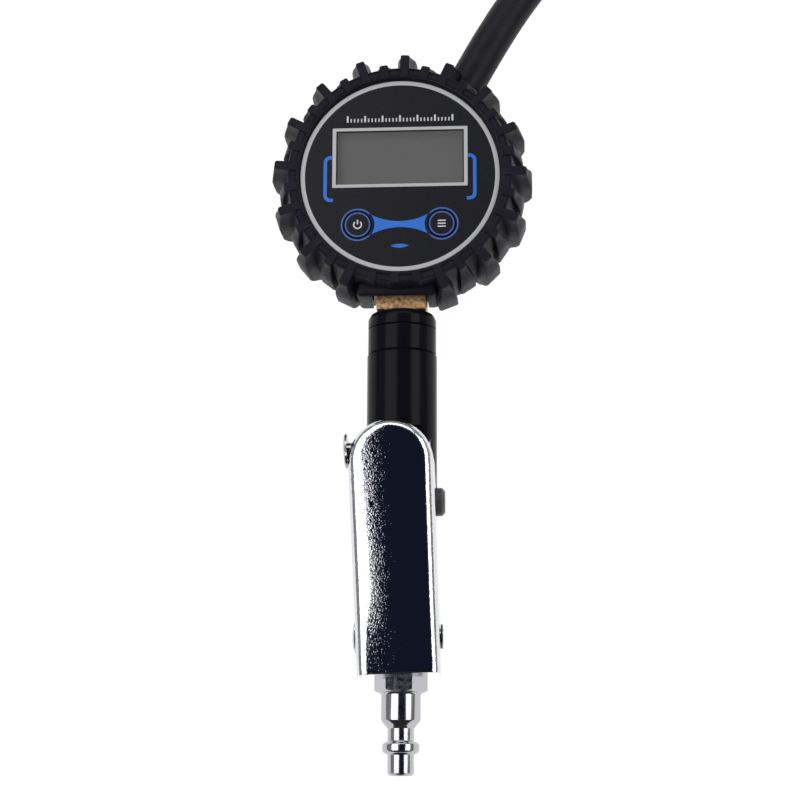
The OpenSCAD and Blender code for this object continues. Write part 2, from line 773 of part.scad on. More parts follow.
module chuck_clip_pin() {
    color([0.7, 0.7, 0.72]) {
        rod_x(1, chuck_x - 5.6, chuck_x + 5.6, clip_pivot.y, clip_pivot.z);
        rod_x(1.7, chuck_x - 6, chuck_x - 5.22, clip_pivot.y, clip_pivot.z);
    }
}

module chuck_spring() {
    color([0.7, 0.7, 0.7]) translate([chuck_x, clip_pivot.y + 11, chuck_z + chuck_r + 0.05])
        coil_spring(1.8, 0.3, 3.9, 4);
}

rubber_boot();
rear_housing();
front_cover();
face_overlay();
display_lens();
lcd_panel();
circuit_board();
controller_chip();
power_switch();
function_switch();
power_button();
function_button();
coin_cell();
cell_clip();
battery_cap();
battery_cap_seal();
housing_screws();
gauge_manifold();
pressure_sensor();
sensor_seal();
hose_nipple();
outlet_seal();
hose_ferrule();
lock_ring();
end_cap();
end_cap_seal();
valve_body();
valve_bush();
plunger();
plunger_seal();
valve_spring();
valve_cap();
valve_cap_seal();
trigger_lever();
pivot_pin();
pivot_clip();
pusher_pin();
bleed_button();
bleed_bush();
bleed_spring();
bleed_seal();
inlet_plug();
inlet_screen();
hose_root();
hose_run();
hose_end();
chuck_ferrule();
chuck_stem();
chuck_body();
chuck_seal();
chuck_depressor();
chuck_clip();
chuck_clip_pin();
chuck_spring();
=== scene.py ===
import json
import math

import bmesh
import bpy
import numpy as np
from mathutils import Matrix, Vector


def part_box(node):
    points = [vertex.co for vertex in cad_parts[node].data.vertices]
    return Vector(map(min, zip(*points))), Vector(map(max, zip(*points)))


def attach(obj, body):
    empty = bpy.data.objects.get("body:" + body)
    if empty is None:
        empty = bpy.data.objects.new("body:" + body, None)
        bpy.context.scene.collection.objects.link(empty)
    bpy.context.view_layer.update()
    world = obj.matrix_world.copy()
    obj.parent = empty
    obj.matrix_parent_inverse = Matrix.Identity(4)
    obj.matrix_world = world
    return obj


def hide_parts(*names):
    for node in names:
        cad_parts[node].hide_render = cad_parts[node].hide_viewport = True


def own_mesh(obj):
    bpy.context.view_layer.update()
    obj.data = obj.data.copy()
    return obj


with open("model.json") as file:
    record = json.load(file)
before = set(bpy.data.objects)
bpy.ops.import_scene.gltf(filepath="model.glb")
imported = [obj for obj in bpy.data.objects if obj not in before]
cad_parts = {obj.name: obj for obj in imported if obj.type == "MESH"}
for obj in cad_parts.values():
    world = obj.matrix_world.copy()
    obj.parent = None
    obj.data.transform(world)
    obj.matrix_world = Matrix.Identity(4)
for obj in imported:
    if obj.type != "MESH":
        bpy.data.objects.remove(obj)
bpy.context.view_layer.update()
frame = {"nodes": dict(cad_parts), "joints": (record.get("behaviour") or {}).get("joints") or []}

# A tire inflator with a digital gauge, lying on a white table. What the frame gives is in metres, and so are
# the floor and the lights. Other sizes are written in millimetres, and MM turns them into metres.

MM = 0.001
NODES = frame["nodes"]
SCENE = bpy.context.scene


def middle(node):
    """The middle of a CAD node's box."""
    low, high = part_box(node)
    return (Vector(low) + Vector(high)) / 2


def joint(name):
    return next(j for j in frame["joints"] if j["name"] == name)


# Places taken from the frame, in metres
DIAL = Vector((0.0, middle("face_overlay").y, 0.0))
FACE_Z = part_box("face_overlay")[1][2]
BUTTON_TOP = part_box("power_button")[1][2]
AXIS_Z = middle("valve_body").z
PIVOT = Vector(joint("lever_squeeze")["pos_m"])


# ---- Camera ----

CAMERA_TARGET = Vector((-0.62, 2.3, 15)) * MM
CAMERA_DISTANCE = 600 * MM
CAMERA_TILT = math.radians(12.56)
CAMERA_YAW = math.radians(4.04)
CAMERA_ROLL = math.radians(0.22)
SENSOR = 36.0
FOCAL = 86.7


def make_camera():
    back = Vector((math.sin(CAMERA_YAW) * math.cos(CAMERA_TILT), -math.sin(CAMERA_TILT),
                   math.cos(CAMERA_YAW) * math.cos(CAMERA_TILT)))
    right = Vector((0, 1, 0)).cross(back).normalized()
    up = back.cross(right)
    turned_right = math.cos(CAMERA_ROLL) * right + math.sin(CAMERA_ROLL) * up
    turned_up = math.cos(CAMERA_ROLL) * up - math.sin(CAMERA_ROLL) * right
    data = bpy.data.cameras.new("camera")
    data.sensor_width = SENSOR
    data.lens = FOCAL
    data.clip_end = 20
    camera = new_object("camera", data)
    place = CAMERA_TARGET + CAMERA_DISTANCE * back
    rotation = Matrix((turned_right, turned_up, back)).transposed().to_4x4()
    camera.matrix_world = Matrix.Translation(place) @ rotation
    SCENE.camera = camera


# ---- Mesh helpers ----

def new_object(name, data):
    piece = bpy.data.objects.new(name, data)
    SCENE.collection.objects.link(piece)
    return piece


def mesh_object(name, points, faces, smooth_angle=40):
    """A mesh piece from points and faces in metres, smooth but for edges over smooth_angle."""
    mesh = bpy.data.meshes.new(name)
    mesh.from_pydata([tuple(p) for p in points], [], faces)
    mesh.validate()
    shade(mesh, smooth_angle)
    return new_object(name, mesh)


def shade(mesh, smooth_angle):
    mesh.polygons.foreach_set("use_smooth", [True] * len(mesh.polygons))
    mesh.set_sharp_from_angle(angle=math.radians(smooth_angle))


def fix_normals(piece):
    """Welds the seams and turns every face outward."""
    work = bmesh.new()
    work.from_mesh(piece.data)
    bmesh.ops.remove_doubles(work, verts=work.verts, dist=1e-7)
    bmesh.ops.recalc_face_normals(work, faces=work.faces)
    work.to_mesh(piece.data)
    work.free()


def apply_modifiers(piece):
    depsgraph = bpy.context.evaluated_depsgraph_get()
    mesh = bpy.data.meshes.new_from_object(piece.evaluated_get(depsgraph))
    piece.modifiers.clear()
    piece.data = mesh


def apply_transform(piece):
    bpy.context.view_layer.update()
    piece.data.transform(piece.matrix_world)
    piece.matrix_world = Matrix.Identity(4)


def add_bevel(piece, width, segments, angle):
    """Rounds the edges sharper than an angle in degrees; the width is in millimetres."""
    bevel = piece.modifiers.new("bevel", "BEVEL")
    bevel.width = width * MM
    bevel.segments = segments
    bevel.limit_method = "ANGLE"
    bevel.angle_limit = math.radians(angle)


def cut(piece, *cutters):
    """Takes the cutters away from a piece."""
    for cutter in cutters:
        modifier = piece.modifiers.new("cut", "BOOLEAN")
        modifier.operation = "DIFFERENCE"
        modifier.solver = "EXACT"
        modifier.object = cutter
        apply_modifiers(piece)
        bpy.data.objects.remove(cutter)


def cutter_box(low, high):
    bpy.ops.mesh.primitive_cube_add(size=1)
    box = bpy.context.object
    box.scale = [b - a for a, b in zip(low, high)]
    box.location = [(a + b) / 2 for a, b in zip(low, high)]
    return box


def cutter_rod(start, end, radius):
    way = Vector(end) - Vector(start)
    bpy.ops.mesh.primitive_cylinder_add(vertices=48, radius=radius, depth=way.length)
    rod = bpy.context.object
    rod.location = (Vector(start) + Vector(end)) / 2
    rod.rotation_mode = "QUATERNION"
    rod.rotation_quaternion = way.to_track_quat("Z", "Y")
    return rod


def interpolate(x, table):
    """Piecewise linear: table is [(x, y), ...] in rising x."""
    return float(np.interp(x, [p[0] for p in table], [p[1] for p in table]))


# ---- Hose ----

# Centreline from the dial's centre and the floor, in millimetres, as part.scad has it
HOSE_ROUTE = [
    (21.5, 37, 15), (29, 50.5, 14.5), (37, 64, 12.5), (46, 77, 10), (56, 89, 8), (68, 99, 6.5),
    (82, 105.5, 6), (97, 107, 6), (112, 104, 6), (126, 97, 6), (138, 86, 6), (147, 72, 6), (152, 56, 6),
    (154, 39, 6), (154, 23, 6.5), (152.5, 8, 7.5), (152, -7, 8)]
HOSE_DIAMETER = 12 * MM
OUTLET = (0, -2, 15)
HOSE_START = 15.4
HOSE_END_LENGTH = 18


def hose_line():
    """The whole hose from its nipple to the chuck, in metres."""
    outlet = Vector(OUTLET)
    first = Vector(HOSE_ROUTE[0])
    way = (first - outlet).normalized()
    inside = [outlet + way * (HOSE_START + step) for step in (0, 8, 16)]
    last = Vector(HOSE_ROUTE[-1])
    tail = [last - Vector((0, HOSE_END_LENGTH * part, 0)) for part in (0.35, 0.7, 1)]
    return [DIAL + p * MM for p in inside + [Vector(q) for q in HOSE_ROUTE] + tail]


def make_hose():
    line = hose_line()
    data = bpy.data.curves.new("hose", "CURVE")
    data.dimensions = "3D"
    data.bevel_depth = HOSE_DIAMETER / 2
    data.bevel_resolution = 10
    data.use_fill_caps = True
    data.resolution_u = 8
    spline = data.splines.new("BEZIER")
    spline.bezier_points.add(len(line) - 1)
    for point, place in zip(spline.bezier_points, line):
        point.co = place
        point.handle_left_type = "AUTO"
        point.handle_right_type = "AUTO"
    hose = new_object("hose", data)
    data.materials.append(HOSE_RUBBER)
    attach(hose, "root")
    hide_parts("hose_root", "hose_run", "hose_end")


# ---- Materials ----

def fill_ramp(ramp, stops):
    """Sets a colour ramp's stops: (place, grey or colour)."""
    for index, (place, colour) in enumerate(stops):
        element = ramp.elements[index] if index < 2 else ramp.elements.new(place)
        element.position = place
        element.color = (*colour, 1) if isinstance(colour, tuple) else (colour, colour, colour, 1)


class Material:
    """A node material built round one Principled shader."""

    def __init__(self, name, colour, roughness, metallic=0.0, specular=0.5):
        self.material = bpy.data.materials.new(name)
        self.material.use_nodes = True
        self.tree = self.material.node_tree
        self.tree.nodes.clear()
        self.output = self.node("ShaderNodeOutputMaterial")
        self.shader = self.node("ShaderNodeBsdfPrincipled")
        self.link(self.shader, "BSDF", self.output, "Surface")
        self.set("Base Color", (*colour, 1))
        self.set("Roughness", roughness)
        self.set("Metallic", metallic)
        self.set("Specular IOR Level", specular)
        self.coordinates = self.node("ShaderNodeTexCoord")

    def node(self, kind):
        return self.tree.nodes.new(kind)

    def link(self, source, output, target, socket):
        self.tree.links.new(source.outputs[output], target.inputs[socket])

    def set(self, socket, value):
        self.shader.inputs[socket].default_value = value

    def noise(self, scale, detail=3.0, roughness=0.5, stretch=None):
        """Noise over the object's own coordinates; scale is in features per metre."""
        made = self.node("ShaderNodeTexNoise")
        made.inputs["Scale"].default_value = scale
        made.inputs["Detail"].default_value = detail
        made.inputs["Roughness"].default_value = roughness
        if stretch:
            mapping = self.node("ShaderNodeMapping")
            mapping.inputs["Scale"].default_value = stretch
            self.link(self.coordinates, "Object", mapping, "Vector")
            self.link(mapping, "Vector", made, "Vector")
        else:
            self.link(self.coordinates, "Object", made, "Vector")
        return made

    def ramp(self, source, output, stops):
        """A colour ramp over a value."""
        made = self.node("ShaderNodeValToRGB")
        fill_ramp(made.color_ramp, stops)
        self.link(source, output, made, "Fac")
        return made

    def vary_colour(self, scale, stops, **noise_settings):
        self.link(self.ramp(self.noise(scale, **noise_settings), "Fac", stops), "Color",
                  self.shader, "Base Color")

    def vary_roughness(self, scale, low, high, **noise_settings):
        ramp = self.ramp(self.noise(scale, **noise_settings), "Fac", [(0.3, low), (0.7, high)])
        self.link(ramp, "Color", self.shader, "Roughness")

    def bump(self, scale, depth, strength=1.0, stops=None, **noise_settings):
        """Fine relief of a depth in millimetres; stops make a ramp between the noise and the relief."""
        made = self.node("ShaderNodeBump")
        made.inputs["Strength"].default_value = strength
        made.inputs["Distance"].default_value = depth * MM
        noise = self.noise(scale, **noise_settings)
        if stops:
            self.link(self.ramp(noise, "Fac", stops), "Color", made, "Height")
        else:
            self.link(noise, "Fac", made, "Height")
        self.link(made, "Normal", self.shader, "Normal")


def rubber(name, colour, dust, roughness, grain):
    """Moulded rubber with a faint bloom in its colour."""
    made = Material(name, colour, roughness, specular=0.14)
    made.vary_colour(260, [(0.35, colour), (0.75, dust)], detail=6.0, roughness=0.6)
    made.vary_roughness(900, roughness - 0.06, roughness + 0.1)
    made.bump(grain, 0.05, 0.35, detail=4.0)
    return made.material


def moulded_plastic(name, colour, roughness=0.45):
    made = Material(name, colour, roughness, specular=0.25)
    made.vary_roughness(1500, roughness - 0.03, roughness + 0.04)
    made.bump(3500, 0.006, 0.15)
    return made.material


def plated(name, colour, roughness, grain, depth, strength=0.5):
    """Plated metal: nearly a mirror, over a slightly uneven skin."""
    made = Material(name, colour, roughness, metallic=1.0)
    made.vary_roughness(700, roughness * 0.7, roughness * 1.6, detail=5.0)
    made.bump(grain, depth, strength, detail=5.0, roughness=0.7)
    return made.material


def chrome():
    """Bright chrome over the fine grain of a stamping: flat, with scattered pimples."""
    made = Material("lever_chrome", (0.72, 0.73, 0.77), 0.03, metallic=1.0)
    made.vary_roughness(700, 0.02, 0.05)
    made.bump(2200, 0.0125, stops=[(0.48, 0.0), (0.8, 1.0)], detail=1.0)
    return made.material


def brass(name, bright, dull, dark, metallic):
    """Brass with darker grains and pits in it."""
    made = Material(name, bright, 0.3, metallic=metallic)
    made.vary_colour(900, [(0.30, dark), (0.44, dull), (0.62, bright)], detail=6.0, roughness=0.7)
    made.vary_roughness(1200, 0.25, 0.5)
    made.bump(1800, 0.03, 0.35, detail=5.0)
    return made.material


def anodised():
    made = Material("black_anodised_gloss", (0.0045, 0.0045, 0.0075), 0.2, specular=0.07)
    made.vary_roughness(1100, 0.13, 0.22, detail=5.0)
    made.bump(2600, 0.006, 0.25, detail=4.0)
    return made.material


def print_ink(name, colour, roughness=0.35):
    made = Material(name, colour, roughness)
    made.vary_roughness(2500, roughness - 0.06, roughness + 0.08)
    made.bump(6000, 0.004, 0.2)
    return made.material


def clear_plastic():
    """A thin window: clear where it is seen straight on, with a gloss that grows to the side."""
    made = Material("window_acrylic", (1, 1, 1), 0.03)
    clear = made.node("ShaderNodeBsdfTransparent")
    clear.inputs["Color"].default_value = (0.96, 0.96, 0.96, 1)
    gloss = made.node("ShaderNodeBsdfGlossy")
    gloss.inputs["Roughness"].default_value = 0.03
    fresnel = made.node("ShaderNodeFresnel")
    fresnel.inputs["IOR"].default_value = 1.45
    mix = made.node("ShaderNodeMixShader")
    made.link(fresnel, "Fac", mix, "Fac")
    made.tree.links.new(clear.outputs["BSDF"], mix.inputs[1])
    made.tree.links.new(gloss.outputs["BSDF"], mix.inputs[2])
    made.link(mix, "Shader", made.output, "Surface")
    made.tree.nodes.remove(made.shader)
    return made.material


def lcd_painted_glow():
    made = Material("lcd_grey_painted_glow", (0.10, 0.10, 0.10), 0.35, specular=0.2)
    made.vary_colour(60, [(0.3, (0.09, 0.09, 0.09)), (0.7, (0.11, 0.11, 0.11))])
    # Painted light: the display glows faintly all over, filling in the shade that the window's edges cast on
    # it.
    made.set("Emission Color", (1.0, 1.0, 0.985, 1))
    made.set("Emission Strength", 0.088)
    made.bump(5000, 0.003, 0.2)
    return made.material


BOOT_RUBBER = rubber("boot_rubber_moulded", (0.0052, 0.0050, 0.0098), (0.0102, 0.0098, 0.0165), 0.45, 2200)
HOSE_RUBBER = rubber("hose_rubber_cover", (0.008, 0.008, 0.012), (0.012, 0.012, 0.016), 0.42, 3000)
SEAL_RUBBER = rubber("seal_nitrile", (0.012, 0.012, 0.012), (0.016, 0.016, 0.016), 0.5, 3500)
BLACK_PLASTIC = moulded_plastic("housing_plastic", (0.012, 0.012, 0.014))
DIAL_FILM = moulded_plastic("dial_film_satin", (0.0095, 0.0098, 0.0135), 0.3)
GREY_NYLON = moulded_plastic("button_nylon", (0.085, 0.083, 0.09), 0.38)
CHIP_EPOXY = moulded_plastic("chip_epoxy", (0.015, 0.015, 0.015), 0.6)
BOARD = moulded_plastic("solder_mask", (0.01, 0.09, 0.035), 0.3)
CHROME = chrome()
PLATED = plated("plug_plating", (0.48, 0.48, 0.51), 0.12, 2400, 0.010, 0.7)
NICKEL = plated("nickel_plate", (0.62, 0.61, 0.58), 0.2, 2500, 0.01)
COPPER = plated("copper_annealed", (0.72, 0.36, 0.22), 0.3, 2200, 0.01)
BLACK_OXIDE = plated("black_oxide_steel", (0.05, 0.05, 0.052), 0.3, 2400, 0.01)
FORGED_BRASS = brass("brass_forged", (0.80, 0.52, 0.27), (0.46, 0.27, 0.12), (0.14, 0.075, 0.03), 0.65)
TURNED_BRASS = brass("brass_turned", (0.66, 0.45, 0.19), (0.62, 0.42, 0.17), (0.54, 0.36, 0.14), 1.0)
ANODISED = anodised()
CLEAR = clear_plastic()
LCD_PAINTED_GLOW = lcd_painted_glow()
INK_SILVER = print_ink("ink_silver", (0.43, 0.43, 0.45))
INK_BLUE = print_ink("ink_blue", (0.018, 0.14, 0.56))
INK_LINE = print_ink("ink_blue_line", (0.045, 0.12, 0.42))
INK_WHITE = print_ink("ink_white", (0.56, 0.56, 0.60))

NODE_MATERIALS = {
    BLACK_PLASTIC: ["rear_housing", "front_cover", "battery_cap"],
    DIAL_FILM: ["face_overlay", "power_button", "function_button"],
    CLEAR: ["display_lens"],
    LCD_PAINTED_GLOW: ["lcd_panel"],
    BOARD: ["circuit_board"],
    CHIP_EPOXY: ["controller_chip"],
    NICKEL: ["power_switch", "function_switch", "coin_cell", "cell_clip", "housing_screws", "pressure_sensor",
             "hose_ferrule", "plunger", "valve_spring", "bleed_spring", "chuck_ferrule", "chuck_depressor",
             "chuck_clip", "chuck_clip_pin", "chuck_spring"],
    FORGED_BRASS: ["gauge_manifold"],
    TURNED_BRASS: ["hose_nipple", "valve_bush", "bleed_bush", "inlet_screen", "chuck_stem", "chuck_body"],
    SEAL_RUBBER: ["battery_cap_seal", "sensor_seal", "end_cap_seal", "plunger_seal", "valve_cap_seal",
                  "bleed_seal", "chuck_seal"],
    COPPER: ["outlet_seal"],
    ANODISED: ["lock_ring", "end_cap", "valve_body", "valve_cap"],
    GREY_NYLON: ["bleed_button"],
    PLATED: ["pivot_pin", "pusher_pin", "inlet_plug"],
    BLACK_OXIDE: ["pivot_clip"],
}
# Widths of the rounded edges, in millimetres
BEVELLED = {"lock_ring": 0.25, "end_cap": 0.2, "inlet_plug": 0.2, "gauge_manifold": 0.25, "power_button": 0.3,
            "function_button": 0.3, "battery_cap": 0.2, "chuck_body": 0.25, "chuck_clip": 0.25,
            "front_cover": 0.15, "valve_cap": 0.2, "bleed_button": 0.9}


def finish_cad_nodes():
    for material, names in NODE_MATERIALS.items():
        for name in names:
            data = NODES[name].data
            data.materials.clear()
            data.materials.append(material)
    for name, width in BEVELLED.items():
        weld = NODES[name].modifiers.new("weld", "WELD")
        weld.merge_threshold = 1e-6
        add_bevel(NODES[name], width, 3, 35)
        flat = NODES[name].modifiers.new("flat", "WEIGHTED_NORMAL")
        flat.weight = 80


# Each spring's joint and axis, and the share of its length that it keeps when the joint is at its limit
SPRINGS = [("valve_spring", "lever_squeeze", (0, 0, 1), 0.43),
           ("bleed_spring", "bleed_press", (1, 0, 0), 0.56),
           ("chuck_spring", "clip_open", (0, 0, 1), 0.38)]


def squash_springs():
    """Gives each spring its own copy of its mesh; the springs are not shortened."""
    for name, mover, axis, keep in SPRINGS:
        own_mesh(NODES[name])


# ---- Rubber boot ----

LONG_LUGS = 16
LUG_TURN = 2.5
# How far the lugs at the sides stand nearer the top than even steps would put them, in degrees
LUG_GATHER = 3.0
BOOT_BACK = 1.6
BOOT_FRONT = 30.0
# Each profile runs from the back to the front: height, then radius or width, in millimetres
BODY_RADIUS = [(1.6, 35.4), (2.4, 36.1), (7, 36.4), (10, 36.9), (20, 36.9), (24, 36.3), (28, 35.5),
               (29.5, 35.2), (30, 34.9)]
LONG_RADIUS = [(1.6, 36.6), (2.4, 37.6), (5, 38.3), (8.5, 40.3), (11, 41.2), (20, 41.3), (23, 40.8),
               (26.5, 40.0), (29.5, 39.6), (30, 39.3)]
SHORT_RADIUS = [(1.6, 35.8), (2.4, 36.3), (5, 36.6), (8.5, 38.1), (11, 38.9), (20, 38.9), (23, 38.2),
                (26.5, 37.1), (29.5, 36.6), (30, 36.3)]
LONG_WIDTH = [(1.6, 5.5), (8, 6.2), (18, 6.2), (22, 5.5), (26, 3.6), (28, 2.9), (30, 2.7)]
SHORT_WIDTH = [(1.6, 5.0), (8, 5.4), (18, 5.4), (22, 4.7), (26, 3.3), (28, 2.8), (30, 2.6)]
BOOT_LEVELS = [1.6, 2.0, 2.4, 3.5, 5, 7, 8.5, 9.6, 11, 14, 17, 20, 21.5, 23, 24.5, 26, 27.2, 28.2, 29.0, 29.5,
               29.8, 30.0]
LUG_BEVEL = 0.45
LIP_RADIUS = 31.6
RIM_RADIUS = 34.9
INSIDE_RADIUS = 32.6
BACK_OPENING = 27.6
BACK_WALL = 2.6
BACK_RIM = 35.2
CUT_LUG = 0.25
# Where the hose comes out through the boot, from the outlet along the hose
HOSE_HOLE = (20, 60)
HOSE_CLEAR = 0.4
# The notch that the stem comes out through, and the reach to each side of it where the lugs are cut down
NOTCH_X = (-9.4, 8.2)
NOTCH_Y = (-50, -22)
NOTCH_Z = (-1, 24.5)
STEM_CLEAR = 11.0


def lug_angles():
    """Angle from the top, clockwise in radians, and whether the lug is long."""
    even = [math.radians(LUG_TURN + 180 * k / LONG_LUGS) for k in range(2 * LONG_LUGS)]
    return [(turn - math.radians(LUG_GATHER) * math.sin(turn), k % 2 == 0) for k, turn in enumerate(even)]


def lug_columns(turn, is_long, level):
    """One lug's outline at a level, from its left foot to its right: (angle, radius, part of the lug)."""
    body = interpolate(level, BODY_RADIUS)
    radius = interpolate(level, LONG_RADIUS if is_long else SHORT_RADIUS)
    half = interpolate(level, LONG_WIDTH if is_long else SHORT_WIDTH) / 2
    if math.cos(turn) < 0 and abs(math.sin(turn)) * INSIDE_RADIUS < STEM_CLEAR:
        radius = body + CUT_LUG
    height = max(radius - body, 0.02)
    bevel = min(LUG_BEVEL, height * 0.45)
    # from the foot to the top: across from the lug's middle, and out from the body
    flank = [(half + 0.2, 0), (half + 0.1, bevel * 0.4), (half + 0.04, height - bevel),
             (half - bevel * 0.3, height - bevel * 0.3), (half - bevel, height)]
    left = [(turn - math.atan2(across, body + out), body + out, out / height) for across, out in flank]
    right = [(turn + math.atan2(across, body + out), body + out, out / height) for across, out in flank]
    return left + right[::-1]


def boot_columns(level):
    """The boot's outline at a level, all the way round, with a point on the floor after each lug."""
    lugs = [lug_columns(turn, is_long, level) for turn, is_long in lug_angles()]
    columns = []
    for k, lug in enumerate(lugs):
        following = lugs[(k + 1) % len(lugs)][0][0]
        if k == len(lugs) - 1:
            following += 2 * math.pi
        columns += lug
        columns.append(((lug[-1][0] + following) / 2, interpolate(level, BODY_RADIUS), 0.0))
    return columns


def around(turn, radius, z):
    return DIAL + Vector((math.sin(turn) * radius, math.cos(turn) * radius, z)) * MM


def round_ring(columns, radius, z):
    """A ring of one radius with a point at each column's angle."""
    return [around(turn, radius, z) for turn, _, _ in columns]


def boot_rings():
    """Rings of points from the back opening, up the outside, over the front rim and down the inside."""
    back = boot_columns(BOOT_BACK)
    front = boot_columns(BOOT_FRONT)
    rings = [round_ring(back, radius, z) for radius, z in (
        (BACK_OPENING, BACK_WALL), (BACK_OPENING, 0.3), (BACK_OPENING + 0.3, 0.0),
        (BACK_RIM - 0.4, 0.0), (BACK_RIM, 0.3))]
    for level in BOOT_LEVELS:
        rings.append([around(turn, radius, level) for turn, radius, _ in boot_columns(level)])
    # front rim: the lugs run in over it, with shallow pockets of depth dip between them
    for inset, dip in ((0.0, 0.0), (0.45, 0.4), (1.9, 0.45), (2.3, 0.12), (2.5, 0.0)):
        ring = []
        for turn, _, part in front:
            pocket = 0.0 if part > 0.3 else dip
            ring.append(around(turn, RIM_RADIUS - 0.1 - inset, BOOT_FRONT - pocket))
        rings.append(ring)
    rings += [round_ring(front, radius, z) for radius, z in (
        (LIP_RADIUS + 0.25, 29.85), (LIP_RADIUS, 29.5), (LIP_RADIUS, 28.85), (INSIDE_RADIUS, 28.85),
        (INSIDE_RADIUS, BACK_WALL))]
    return rings


def stem_notch():
    low, high = (Vector(corner) for corner in zip(NOTCH_X, NOTCH_Y, NOTCH_Z))
    return cutter_box(DIAL + low * MM, DIAL + high * MM)


def make_stem_pad():
    """The block of rubber that the stem comes out through."""
    low, high = Vector((-13.9, -38, 9)), Vector((11.6, -32.9, 25.5))
    pad = cutter_box(DIAL + low * MM, DIAL + high * MM)
    pad.name = "stem_pad"
    add_bevel(pad, 1.6, 5, 30)
    apply_transform(pad)
    apply_modifiers(pad)
    cut(pad, stem_notch())
    shade(pad.data, 35)
    pad.data.materials.append(BOOT_RUBBER)
    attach(pad, "root")


def make_boot():
    rings = boot_rings()
    count = len(rings[0])
    points = [p for ring in rings for p in ring]
    faces = []
    for i in range(len(rings)):
        below = i * count
        above = ((i + 1) % len(rings)) * count
        for k in range(count):
            n = (k + 1) % count
            faces.append((below + k, below + n, above + n, above + k))
    boot = mesh_object("boot_shell", points, faces)
    fix_normals(boot)
    outlet = DIAL + Vector(OUTLET) * MM
    way = (Vector(HOSE_ROUTE[0]) - Vector(OUTLET)).normalized()
    start, end = (outlet + way * reach * MM for reach in HOSE_HOLE)
    hose_hole = cutter_rod(start, end, HOSE_DIAMETER / 2 + HOSE_CLEAR * MM)
    cut(boot, stem_notch(), hose_hole)
    shade(boot.data, 38)
    boot.data.materials.append(BOOT_RUBBER)
    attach(boot, "root")
    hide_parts("rubber_boot")


# ---- Lever ----

LEVER_TAIL = 11.7
LEVER_NOSE = 64.0
LEVER_HALF = (12.5, 12.9)
LEVER_SHIFT = -0.4
LEVER_RISE = math.radians(6.9)
LEVER_LEAN = math.radians(2)
LEVER_CROWN_Z = 8.0
LEVER_SHEET = 0.9
LEVER_SHOULDER = 3.0
# Rise of the top's middle over its sides, along the lever
LEVER_CAMBER = [(-11.7, 0.14), (-5, 0.28), (3, 0.62), (12, 0.86), (30, 0.8), (50, 0.74), (64, 0.62)]
# Height of the cheeks' lower edge over the pivot, along the lever
LEVER_EDGE = [(-11.7, -4.8), (4, -5.2), (11, -1.8), (51, 4), (57, 7.4), (61, 10.2), (67.7, 13)]
PUSHER_ARM = 55.5
PUSHER_RISE = 10.0
PIN_HOLE = 2.58
PIN_REACH = 20
SIDE_STEPS = 46
ARC_STEPS = 40
CHEEK_STEPS = 8
SHOULDER_STEPS = 8
TOP_STEPS = 11


def lever_outline():
    """Points round the lever's plan from the tail's left to its right, as (y on the axis, x and y of the
    outward step, half width): inset by f they stand at axis + step * half * (1 - f)."""
    centre = LEVER_NOSE - LEVER_HALF[1]
    sides = [(float(y), float(np.interp(y, [-LEVER_TAIL, centre], LEVER_HALF)))
             for y in np.linspace(-LEVER_TAIL, centre, SIDE_STEPS)]
    outline = [(y, -1.0, 0.0, half) for y, half in sides]
    for step in range(1, ARC_STEPS):
        angle = math.pi - math.pi * step / ARC_STEPS
        outline.append((centre, math.cos(angle), math.sin(angle), LEVER_HALF[1]))
    outline += [(y, 1.0, 0.0, half) for y, half in reversed(sides)]
    return outline


def lever_top(y):
    return LEVER_CROWN_Z + math.tan(LEVER_RISE) * (y + LEVER_TAIL)


def camber_top(y, reach, half):
    return lever_top(y) - interpolate(y, LEVER_CAMBER) * (reach / half) ** 2


def lever_rings():
    """From the cheeks' lower edge up, over the shoulder and in to the middle line."""
    outline = lever_outline()
    rings = []
    for part in np.linspace(0, 1, CHEEK_STEPS + 1):
        ring = []
        for base, sx, sy, half in outline:
            x = sx * half
            y = base + sy * half
            low = interpolate(y, LEVER_EDGE)
            high = lever_top(y) - interpolate(y, LEVER_CAMBER) - LEVER_SHOULDER
            ring.append(Vector((x, y, low + (high - low) * part)))
        rings.append(ring)
    for step in range(1, SHOULDER_STEPS + 1):
        angle = math.pi / 2 * step / SHOULDER_STEPS
        inset = LEVER_SHOULDER * (1 - math.cos(angle))
        drop = LEVER_SHOULDER * (1 - math.sin(angle))
        ring = []
        for base, sx, sy, half in outline:
            reach = half - inset
            y = base + sy * reach
            ring.append(Vector((sx * reach, y, camber_top(y, reach, half) - drop)))
        rings.append(ring)
    for part in np.linspace(1, 0, TOP_STEPS + 1)[1:]:
        ring = []
        for base, sx, sy, half in outline:
            reach = (half - LEVER_SHOULDER) * part
            y = base + sy * reach
            ring.append(Vector((sx * reach, y, camber_top(y, reach, half))))
        rings.append(ring)
    return rings


def make_lever():
    rings = lever_rings()
    count = len(rings[0])
    place = Matrix.Translation(PIVOT + Vector((LEVER_SHIFT, 0, 0)) * MM) @ Matrix.Rotation(LEVER_LEAN, 4, "Z")
    points = [place @ (p * MM) for ring in rings for p in ring]
    faces = [(i * count + k, i * count + k + 1, (i + 1) * count + k + 1, (i + 1) * count + k)
             for i in range(len(rings) - 1) for k in range(count - 1)]
    lever = mesh_object("lever_shell", points, faces)
    fix_normals(lever)
    skin = lever.modifiers.new("sheet", "SOLIDIFY")
    skin.thickness = LEVER_SHEET * MM
    skin.offset = -1
    skin.use_even_offset = True
    add_bevel(lever, 0.2, 2, 50)
    apply_modifiers(lever)
    pusher = place @ (Vector((0, PUSHER_ARM, PUSHER_RISE)) * MM)
    side = (place.to_3x3() @ Vector((1, 0, 0))) * PIN_REACH * MM
    level = Vector((PIN_REACH * MM, 0, 0))
    cut(lever, cutter_rod(pusher - side, pusher + side, PIN_HOLE * MM),
        cutter_rod(PIVOT - level, PIVOT + level, PIN_HOLE * MM))
    shade(lever.data, 40)
    lever.data.materials.append(CHROME)
    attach(lever, "lever")
    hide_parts("trigger_lever")


